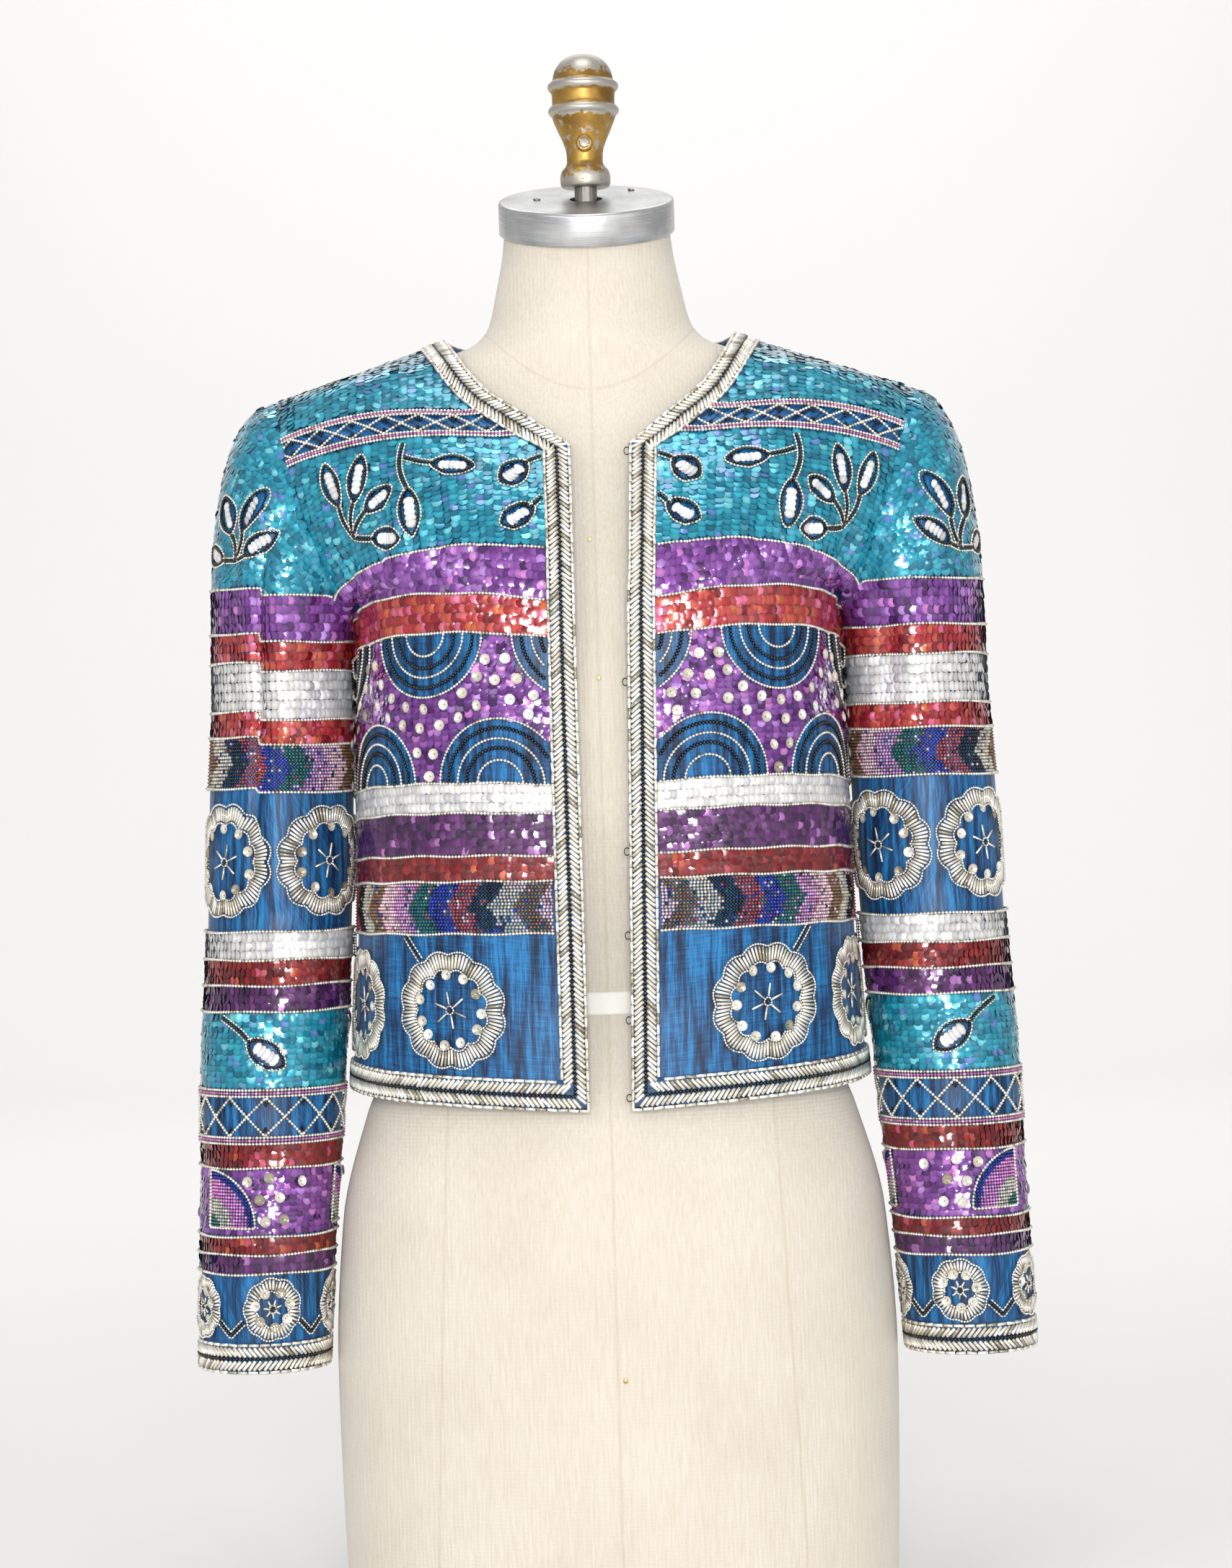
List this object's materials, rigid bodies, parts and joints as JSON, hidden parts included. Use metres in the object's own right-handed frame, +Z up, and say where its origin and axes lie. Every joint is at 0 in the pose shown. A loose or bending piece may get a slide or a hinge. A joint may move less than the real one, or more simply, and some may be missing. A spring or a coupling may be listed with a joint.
{
  "type": "sequin jacket on a dress form",
  "caption": "Cropped collarless open-front jacket of blue silk banded in sequins and beadwork, worn by a limbless linen dress form with a metal neck cap.",
  "frame": {"origin": "on the floor under the form's axis, on the flat underside of the dress form", "axes": "+Z up, -Y is the front, +X is the wearer's left"},
  "size_m": [0.5102, 0.2555, 0.9505],
  "materials": {
    "sequinned_silk_front": "glossy",
    "sequinned_silk_back": "glossy",
    "sequinned_silk_sleeve": "glossy",
    "bugle_border": "glossy",
    "linen": "matte",
    "cotton_tape": "matte",
    "aluminium": "satin",
    "worn_gilt": "worn",
    "dull_steel": "satin"
  },
  "bodies": {
    "root": {"front_left": "sequinned_silk_front", "front_right": "sequinned_silk_front", "back": "sequinned_silk_back", "sleeve_left": "sequinned_silk_sleeve", "sleeve_right": "sequinned_silk_sleeve", "border_front_left": "bugle_border", "border_front_right": "bugle_border", "border_back_neck": "bugle_border", "border_back_hem": "bugle_border", "border_cuff_left": "bugle_border", "border_cuff_right": "bugle_border", "form_torso": "linen", "waist_tape": "cotton_tape", "neck_cap": "aluminium", "finial": "worn_gilt", "finial_post": "dull_steel"}
  },
  "joints": []
}
